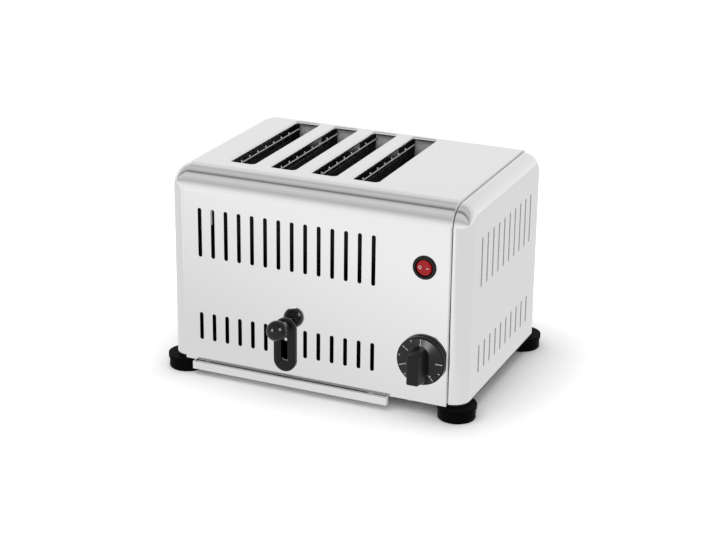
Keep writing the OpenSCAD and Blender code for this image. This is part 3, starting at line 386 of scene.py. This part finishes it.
def buildCover():
    bm = bmesh.new()
    fold = case["hem"] / 2
    half = case["half"] - fold
    low, shoulder = case["edge"] + case["chamfer"], case["top"] - case["bend"]
    leverZ, leverHalf, leverLong = control["leverSlot"]
    frontHoles = ventHoles(1) + [
        {**punched, "u": slot["x"], "v": leverZ, "hu": leverHalf, "hv": leverLong, "r": leverHalf},
        roundHole(control["x"], control["switch"], control["switchHole"]),
        roundHole(control["x"], control["timer"], control["timerHole"])]
    backHoles = ventHoles(0) + [roundHole(gland["x"], gland["z"], gland["hole"])]
    slots = []
    for k in range(slot["count"]):
        x = slot["x"] + (k - (slot["count"] - 1) / 2) * slot["pitch"]
        slots.append({"u": x, "v": slot["mid"], "hu": slot["half"], "hv": slot["long"], "r": slot["corner"],
                      "edge": slot["lip"], "wall": slot["deep"], "seg": slot["seg"], "back": slot["back"]})
    upright = (-half, half, low, shoulder)
    near, far = case["front"] + case["bend"], case["back"] - case["bend"]
    flatPanel(bm, lambda u, v, d: (u, case["front"] + d, v), upright, frontHoles)
    flatPanel(bm, lambda u, v, d: (u, case["back"] - d, v), upright, backHoles)
    flatPanel(bm, lambda u, v, d: (u, v, case["top"] - d), (-half, half, near, far), slots)
    path = coverPath()
    for first, second in zip(path, path[1:]):
        if max(abs(second[0] - first[0]), abs(second[1] - first[1])) > case["bend"]:
            continue  # a flat panel is there
        corners = [bm.verts.new((x, p[0], p[1])) for x, p in ((-half, first), (half, first), (half, second),
                                                              (-half, second))]
        bm.faces.new(corners).smooth = True
    hem = [(-fold + fold * math.sin(a), fold - fold * math.cos(a)) for a in halfTurn]
    hem.append((-case["lap"], case["hem"]))
    for side in (-1, 1):
        loft(bm, [[(side * (case["half"] + out), p[0] - p[2] * depth, p[1] - p[3] * depth) for p in path]
                  for out, depth in hem], closed=False)
    for y in (case["front"] + flange["inset"], case["back"] - flange["inset"] - flange["wide"]):
        addBox(bm, (-flange["half"], y, case["edge"]),
               (flange["half"], y + flange["wide"], case["edge"] + case["sheet"]))
    finishPiece("coverSheet", bm, "bright_steel", "case", ["wrap_cover"])


# End caps: a lap under the cover's hem, a groove beside it, a round edge and a flat end with vents
cap = {"width": 17.5, "round": 17.0, "steps": 32, "nest": 2.1, "low": 17.2, "vents": 10, "ventPitch": 16.0,
       "ventHalf": 2.0, "ventWall": 1.8, "grooveEnd": 1.7,
       "groove": ((-1.2, 0.1), (-0.8, 1.0), (0.3, 1.0), (0.7, 0.5), (1.4, 0.08))}


def buildCap(side):
    bm = bmesh.new()
    f = cap["round"]
    r = case["bend"] - cap["nest"]
    out = case["half"] + cap["width"]
    near, far = case["front"] + case["bend"], case["back"] - case["bend"]
    shoulder, low = case["top"] - case["bend"], cap["low"]
    section = [(case["half"] - case["lap"], r)]
    section += [(case["half"] + aside, r - depth) for aside, depth in cap["groove"]]
    start = case["half"] + cap["grooveEnd"] - (out - f)
    for a in quarter(cap["steps"], 1):
        if f * math.sin(a) > start:
            section.append((out - f + f * math.sin(a), r - f + f * math.cos(a)))
    turn = [(near, low, -1, 0), (near, shoulder, -1, 0)]
    turn += [(near, shoulder, -math.cos(a), math.sin(a)) for a in quarter(cap["steps"], 1)]
    turn += [(far, shoulder, math.sin(a), math.cos(a)) for a in quarter(cap["steps"])]
    turn.append((far, low, 1, 0))
    loft(bm, [[(side * x, p[0] + p[2] * reach, p[1] + p[3] * reach) for p in turn] for x, reach in section],
         closed=False)
    inner = r - f
    brow = [bm.verts.new((side * out, p[0] + p[2] * inner, p[1] + p[3] * inner)) for p in turn[1:-1]]
    bm.faces.new(brow).smooth = False
    walls = bmesh.new()
    holes = []
    for k in range(cap["vents"]):
        y = (case["front"] + case["back"]) / 2 + (k - (cap["vents"] - 1) / 2) * cap["ventPitch"]
        for row in (vents["low"], vents["high"]):
            holes.append({**ventHole(y, row, cap["ventHalf"]), "wall": cap["ventWall"], "walls": walls})
    end = (near - inner, far + inner, low, shoulder)
    flatPanel(bm, lambda u, v, d: (side * (out - d), u, v), end, holes)
    name = "Right" if side > 0 else "Left"
    finishPiece("ventWalls" + name, walls, "bright_steel", "case", material=ownMaterials["ventRim"])
    finishPiece("endCap" + name, bm, "bright_steel", "case", ["end_cap_" + name.lower()])


buildCover()
buildCap(-1)
buildCap(1)
print("stage: case built")


# Timer dial: turned body with an inlaid face, grip bar and printed marks
dial = {"at": Vector((control["x"], case["front"] - 0.8, control["timer"])), "skirt": 5.0, "r": 25.0,
        "rim": 1.4, "rimSteps": 6, "hollow": 20.5, "inlay": 0.3, "taper": 0.1, "steps": 96, "sharp": 40,
        "grip": 21.0, "ease": 1.2, "easeFrom": 1.0,
        "base": {"half": 9.0, "low": -18.5, "high": 16.0, "arch": 9.0},
        "crown": {"half": 5.9, "low": -17.5, "high": 14.0, "arch": 3.5}}
marks = {"count": 11, "turn": 27, "outer": 23.2, "long": 3.4, "short": 2.0, "half": 0.3, "thick": 0.03,
         "proud": 0.04, "digit": 4.8, "digitAt": 17.4}
axisEnd = 0.01  # spun profiles stop just short of the axis


def gripOutline(outline):
    points = [(outline["half"], outline["low"])]
    for a in halfTurn:
        rise = outline["high"] - outline["arch"] * (1 - math.sin(a))
        points.append((outline["half"] * math.cos(a), rise))
    return points + [(-outline["half"], outline["low"])]


def buildKnob():
    rim, skirt = dial["rim"], dial["skirt"]
    edge, inlay = dial["r"] - rim, dial["inlay"] - skirt
    bm = bmesh.new()
    profile = [(dial["hollow"], 0), (dial["r"], 0)]
    profile += [(edge + rim * math.cos(a), rim - skirt - rim * math.sin(a))
                for a in quarter(dial["rimSteps"])]
    profile += [(edge - dial["taper"], inlay), (axisEnd, inlay)]
    spinProfile(bm, profile, dial["at"], dial["steps"])
    smoothBy(bm, dial["sharp"])
    finishPiece("timerDial", bm, "black_plastic", "dial", ["timer_knob"])
    bm = bmesh.new()
    profile = [(axisEnd, inlay), (edge - dial["taper"], inlay), (edge, -skirt), (axisEnd, -skirt)]
    spinProfile(bm, profile, dial["at"], dial["steps"])
    smoothBy(bm, dial["sharp"])
    return finishPiece("dialFace", bm, "black_plastic", "dial", material=ownMaterials["spunBlack"])


def buildGrip():
    bm = bmesh.new()
    cx, back, cz = dial["at"]
    face = back - dial["skirt"]
    ends = ((dial["base"], face + dial["inlay"]), (dial["crown"], face - dial["grip"]))
    foot, crown = loft(bm, [[(cx + u, y, cz + v) for u, v in gripOutline(outline)] for outline, y in ends])
    bm.faces.new(crown)
    bm.faces.new(foot)
    bmesh.ops.recalc_face_normals(bm, faces=bm.faces)
    edges = [e for e in bm.edges if e.calc_face_angle(0) > math.radians(dial["sharp"])
             and min(v.co.y for v in e.verts) < face - dial["easeFrom"]]
    bmesh.ops.bevel(bm, geom=edges, offset=dial["ease"], offset_type="OFFSET", affect="EDGES", segments=4,
                    profile=0.5, material=-1)
    smoothBy(bm, dial["sharp"])
    finishPiece("timerGrip", bm, "black_plastic", "dial")


def digitMesh(bm, text, at):
    curve = bpy.data.curves.new("digit", "FONT")
    curve.body = text
    curve.size = marks["digit"]
    curve.extrude = marks["thick"]
    curve.align_x = "CENTER"
    curve.align_y = "CENTER"
    holder = bpy.data.objects.new("digit", curve)
    scene.collection.objects.link(holder)
    view = bpy.context.evaluated_depsgraph_get()
    mesh = bpy.data.meshes.new_from_object(holder.evaluated_get(view))
    mesh.transform(at)
    bm.from_mesh(mesh)
    bpy.data.objects.remove(holder)
    bpy.data.meshes.remove(mesh)


def buildMarks():
    bm = bmesh.new()
    middle = dial["at"] - Vector((0, dial["skirt"] + marks["proud"], 0))
    upright = Matrix.Rotation(math.radians(90), 4, "X")
    outer, half, thick = marks["outer"], marks["half"], marks["thick"]
    for step in range(marks["count"]):
        a = math.radians(marks["turn"] * step)
        spin = Matrix.Rotation(-a, 4, "Y")
        whole = step % 2 == 0
        length = marks["long"] if whole else marks["short"]
        bar = bmesh.new()
        addBox(bar, (-half, -thick, outer - length), (half, thick, outer))
        bmesh.ops.transform(bar, matrix=Matrix.Translation(middle) @ spin, verts=bar.verts)
        mesh = bpy.data.meshes.new("bar")
        bar.to_mesh(mesh)
        bar.free()
        bm.from_mesh(mesh)
        bpy.data.meshes.remove(mesh)
        if whole:
            centre = middle + Vector((-math.sin(a), 0, math.cos(a))) * marks["digitAt"]
            digitMesh(bm, str(step // 2), Matrix.Translation(centre) @ spin @ upright)
    finishPiece("dialMarks", bm, "black_plastic", "dial", material=ownMaterials["markWhite"])


dialFace = buildKnob()
buildGrip()
buildMarks()


# Rocker switch: bevelled bezel, creased red rocker and its two marks; profiles give radius and depth
bezel = {"ring": ((12, 0), (12, -1.0), (11.7, -1.7), (11.0, -2.2), (9.6, -2.2), (9.0, -1.9), (8.8, -1.4),
                  (8.8, 9), (axisEnd, 9)),
         "barrel": ((10, 0), (10, 21), (axisEnd, 21)), "steps": 64, "sharp": 35}
rocker = {"centre": Vector((control["x"], case["front"] + 0.6, control["switch"])), "tilt": -9.0,
          "slope": 0.10, "lift": 0.5, "face": -2.5, "steps": 64, "sharp": 30,
          "rings": ((8.0, 2.5), (8.0, -1.9), (7.7, -2.3), (7.0, -2.5), (5.0, -2.5), (2.5, -2.5)),
          "bar": ((3.0, -0.15, -0.35), (5.6, -0.03, 0.35)),
          "o": ((1.7, -0.03), (1.7, -0.09), (1.1, -0.09), (1.1, -0.03)), "oAt": -4.2, "oSteps": 32}


def circle(r, steps):
    return [(r * math.cos(math.tau * k / steps), r * math.sin(math.tau * k / steps)) for k in range(steps)]


def buildSwitch():
    bm = bmesh.new()
    middle = (control["x"], case["front"], control["switch"])
    spinProfile(bm, bezel["ring"], middle, bezel["steps"])
    spinProfile(bm, bezel["barrel"], middle, bezel["steps"])
    smoothBy(bm, bezel["sharp"])
    finishPiece("switchBezel", bm, "black_plastic", "case", ["switch_body"])
    turn = Matrix.Translation(rocker["centre"]) @ Matrix.Rotation(math.radians(rocker["tilt"]), 4, "Z")
    slope, lift = rocker["slope"], rocker["lift"]
    bm = bmesh.new()
    rings = []
    for r, depth in rocker["rings"]:
        crease = slope if depth < 0 else 0
        rings.append([turn @ Vector((u, depth + lift - abs(u) * crease, v))
                      for u, v in circle(r, rocker["steps"])])
    last = loft(bm, rings)[-1]
    centre = bm.verts.new(turn @ Vector((0, rocker["face"] + lift, 0)))
    for a, b in zip(last, last[1:] + last[:1]):
        bm.faces.new((a, b, centre)).smooth = True
    smoothBy(bm, rocker["sharp"])
    finishPiece("rockerButton", bm, "rocker_plastic", "rocker", ["switch_rocker"])
    bm = bmesh.new()
    addBox(bm, *rocker["bar"])
    loft(bm, [[(rocker["oAt"] + u, depth, v) for u, v in circle(r, rocker["oSteps"])]
              for r, depth in rocker["o"]])
    for v in bm.verts:
        v.co.y += rocker["face"] + lift - abs(v.co.x) * slope
    bmesh.ops.transform(bm, matrix=turn, verts=bm.verts)
    finishPiece("rockerMarks", bm, "rocker_plastic", "rocker", material=ownMaterials["markWhite"])


buildSwitch()


# Lever: ball with a flat back, and the slotted plate
# Each soft edge of the plate is given as growth and depth below the face
ball = {"at": Vector((slot["x"], case["front"] - 19.5, case["edge"] + 57.0)), "r": 10.5, "flat": 9.5,
        "around": 64, "along": 32, "sharp": 40}
plate = {"mid": case["edge"] + 35.0, "long": 28.5, "half": 12.0, "thick": 3.0, "seg": 24, "sharp": 35,
         "soft": ((0, 0.8), (-0.25, 0.3), (-0.8, 0)), "slotMid": case["edge"] + 38.85, "slotLong": 21.65,
         "slotHalf": 3.5, "slotCorner": 1.0, "slotSeg": 6, "slotSoft": ((0.5, 0), (0.15, 0.15), (0, 0.5))}


def buildBall():
    bm = bmesh.new()
    bmesh.ops.create_uvsphere(bm, u_segments=ball["around"], v_segments=ball["along"], radius=ball["r"])
    bmesh.ops.rotate(bm, cent=(0, 0, 0), matrix=Matrix.Rotation(math.radians(90), 3, "X"), verts=bm.verts)
    for v in bm.verts:
        v.co.y = min(v.co.y, ball["flat"])
    bmesh.ops.translate(bm, vec=ball["at"], verts=bm.verts)
    smoothBy(bm, ball["sharp"])
    return finishPiece("leverBall", bm, "ball_plastic", "carriage", ["lever_ball"])


def buildPlate():
    bm = bmesh.new()
    x, y, face = slot["x"], case["front"], plate["thick"]
    half, high = plate["half"], plate["long"]
    rings = []
    for out, below in ((0, face), *plate["soft"]):
        outline = roundRect(x, plate["mid"], half + out, high + out, half + out, plate["seg"])
        rings.append([(u, y - (face - below), v) for u, v in outline])
    outside = loft(bm, rings)
    rings = []
    for out, below in (*plate["slotSoft"], (0, face)):
        outline = roundRect(x, plate["slotMid"], plate["slotHalf"] + out, plate["slotLong"] + out,
                            plate["slotCorner"] + out, plate["slotSeg"])
        rings.append([(u, y - (face - below), v) for u, v in outline])
    inside = loft(bm, rings)
    fillFlat(bm, ringEdges(bm, outside[-1]) + ringEdges(bm, inside[0]))
    smoothBy(bm, plate["sharp"])
    finishPiece("leverPlate", bm, "black_plastic", "case", ["lever_plate"])


leverBall = buildBall()
buildPlate()
print("stage: controls built")


# Floor: white paper to the eye, greyer beside the case; in mirrors it glows, most in front of the toaster
paper = {"size": 6, "underCase": (0.16, 0.11, 0), "reach": 0.15, "near": 1.08, "far": 1.6, "bounce": 0.8,
         "way": (0.36, -0.64, 0), "from": 0.07, "to": 0.28, "dim": 0.82, "bright": 1.03, "rightFrom": 0.1,
         "rightTo": 0.25}


def floorMaterial():
    material = bpy.data.materials.new("floorWhite")
    material.use_nodes = True
    tree = material.node_tree
    tree.nodes.clear()
    path = addNode(tree, "LightPath", {}).outputs
    place = addNode(tree, "TexCoord", {}).outputs["Object"]
    beside = addNode(tree, "VectorMath", {0: place}, operation="ABSOLUTE").outputs["Vector"]
    past = addNode(tree, "VectorMath", {0: beside, 1: paper["underCase"]}, operation="SUBTRACT")
    clear = addNode(tree, "VectorMath", {0: past.outputs["Vector"], 1: (0, 0, 0)}, operation="MAXIMUM")
    away = addNode(tree, "VectorMath", {0: clear.outputs["Vector"]}, operation="LENGTH").outputs["Value"]
    far = addNode(tree, "MapRange", {"Value": away, "From Max": paper["reach"], "To Min": paper["near"],
                                     "To Max": paper["far"]})
    seen = addNode(tree, "Mix", {"Factor": path["Is Camera Ray"], "A": paper["bounce"],
                                 "B": far.outputs["Result"]})
    slope = addNode(tree, "VectorMath", {0: place, 1: paper["way"]}, operation="DOT_PRODUCT")
    glow = addNode(tree, "MapRange", {"Value": slope.outputs["Value"], "From Min": paper["from"],
                                      "From Max": paper["to"], "To Min": paper["dim"],
                                      "To Max": paper["bright"]})
    along = addNode(tree, "SeparateXYZ", {0: place}).outputs
    right = addNode(tree, "MapRange", {"Value": along["X"], "From Min": paper["rightFrom"],
                                       "From Max": paper["rightTo"]})
    across = addNode(tree, "Mix", {"Factor": right.outputs["Result"], "A": glow.outputs["Result"],
                                   "B": paper["dim"]})
    mirror = addNode(tree, "Math", {0: path["Is Glossy Ray"], 1: path["Is Transmission Ray"]},
                     operation="MAXIMUM")
    diffuse = addNode(tree, "BsdfDiffuse", {"Color": seen.outputs["Result"]})
    shine = addNode(tree, "Emission", {"Strength": across.outputs["Result"]})
    either = addNode(tree, "MixShader", {0: mirror.outputs[0], 1: diffuse.outputs[0], 2: shine.outputs[0]})
    addNode(tree, "OutputMaterial", {"Surface": either.outputs[0]})
    return material


def makeFloor():
    bm = bmesh.new()
    bmesh.ops.create_grid(bm, x_segments=1, y_segments=1, size=paper["size"])
    mesh = bpy.data.meshes.new("floor")
    bm.to_mesh(mesh)
    bm.free()
    floor = bpy.data.objects.new("floor", mesh)
    scene.collection.objects.link(floor)
    mesh.materials.append(floorMaterial())


# Studio: even light, a white backdrop, and for mirrors a ring of tones
# From the front horizon over the ceiling to the back: white, grey ceiling, a dark gap, grey, white
studio = {"light": 0.68,
          "tones": ((0.0, 1.0), (0.06, 0.95), (0.19, 0.54), (0.33, 0.72), (0.40, 0.64), (0.445, 0.2),
                    (0.47, 0.25), (0.5, 0.5), (0.57, 0.64), (0.65, 0.53), (0.76, 0.84), (0.81, 0.78),
                    (0.87, 0.9), (1.0, 0.98))}


def makeWorld():
    world = bpy.data.worlds.new("studio")
    scene.world = world
    world.use_nodes = True
    tree = world.node_tree
    tree.nodes.clear()
    path = addNode(tree, "LightPath", {}).outputs
    seen = addNode(tree, "Math", {0: path["Is Camera Ray"], 1: path["Is Transmission Ray"]},
                   operation="MAXIMUM")
    way = addNode(tree, "TexCoord", {}).outputs["Generated"]
    along = addNode(tree, "SeparateXYZ", {0: way}).outputs
    front = addNode(tree, "Math", {0: along["Y"], 1: -1}, operation="MULTIPLY")
    turn = addNode(tree, "Math", {0: along["Z"], 1: front.outputs[0]}, operation="ARCTAN2")
    span = addNode(tree, "MapRange", {"Value": turn.outputs[0], "From Max": math.pi})
    ramp = addNode(tree, "ValToRGB", {"Fac": span.outputs["Result"]})
    tones = ramp.color_ramp.elements
    tones.remove(tones[1])
    first, *others = studio["tones"]
    tones[0].position = first[0]
    tones[0].color = (first[1], first[1], first[1], 1)
    for where, value in others:
        tones.new(where).color = (value, value, value, 1)
    lit = addNode(tree, "Background", {"Color": (1, 1, 1, 1), "Strength": studio["light"]})
    mirror = addNode(tree, "Background", {"Color": ramp.outputs["Color"]})
    white = addNode(tree, "Background", {"Color": (1, 1, 1, 1)})
    unseen = addNode(tree, "MixShader", {0: path["Is Glossy Ray"], 1: lit.outputs[0], 2: mirror.outputs[0]})
    either = addNode(tree, "MixShader", {0: seen.outputs[0], 1: unseen.outputs[0], 2: white.outputs[0]})
    addNode(tree, "OutputWorld", {"Surface": either.outputs[0]})


# Lamps: one soft key that mirrors don't show, and softboxes that shine on single pieces
def addLamp(name, lamp):
    light = bpy.data.lights.new(name, "AREA")
    light.shape = "RECTANGLE"
    light.size, light.size_y = lamp["size"], lamp["size"]
    light.energy = lamp["power"]
    holder = bpy.data.objects.new(name, light)
    holder.location = lamp["at"]
    holder.rotation_mode = "QUATERNION"
    holder.rotation_quaternion = (Vector(lamp["to"]) - Vector(lamp["at"])).to_track_quat("-Z", "Y")
    holder.visible_glossy = "shine" in lamp
    if "shine" in lamp:
        shown = bpy.data.collections.new(name + "Pieces")
        shown.objects.link(lamp["shine"])
        holder.light_linking.receiver_collection = shown
    scene.collection.objects.link(holder)


ballAt, dialAt = ball["at"] * mm, dial["at"] * mm
lamps = {
    "keyLamp": {"at": (-0.25, -0.7, 1.9), "to": (0, 0, 0.1), "size": 2.2, "power": 15},
    "leftBox": {"at": (-0.72, -1.35, 0.58), "to": ballAt, "size": 0.65, "power": 14, "shine": leverBall},
    "rightBox": {"at": (1.15, -0.55, 0.85), "to": ballAt, "size": 0.65, "power": 14, "shine": leverBall},
    "dialBox": {"at": dialAt + Vector((0.15, -0.83, 1.12)), "to": dialAt, "size": 0.7, "power": 270,
                "shine": dialFace},
}

# Camera, fitted to the photo: angles in degrees, the focal length and the photo's width in pixels
eye = {"az": 23.453, "el": 20.79, "roll": 0.664, "dist": 1.761, "focal": 1812.7, "width": 716, "sensor": 36,
       "clipNear": 0.05, "clipFar": 50, "target": Vector((48.73, case["front"], 142.83)) * mm}


def makeCamera():
    az, el, roll = (math.radians(eye[name]) for name in ("az", "el", "roll"))
    back = Vector((math.sin(az) * math.cos(el), -math.cos(az) * math.cos(el), math.sin(el)))
    right = (-back).cross(Vector((0, 0, 1))).normalized()
    up = right.cross(-back)
    c, s = math.cos(roll), math.sin(roll)
    turned = Matrix((c * right + s * up, c * up - s * right, back)).transposed()
    data = bpy.data.cameras.new("camera")
    data.sensor_width = eye["sensor"]
    data.lens = eye["focal"] * eye["sensor"] / eye["width"]
    data.clip_start, data.clip_end = eye["clipNear"], eye["clipFar"]
    camera = bpy.data.objects.new("camera", data)
    camera.matrix_world = Matrix.Translation(eye["target"] + back * eye["dist"]) @ turned.to_4x4()
    scene.collection.objects.link(camera)
    scene.camera = camera


makeFloor()
makeWorld()
for name, lamp in lamps.items():
    addLamp(name, lamp)
makeCamera()
scene.view_settings.view_transform = "Standard"
print("stage: studio set")
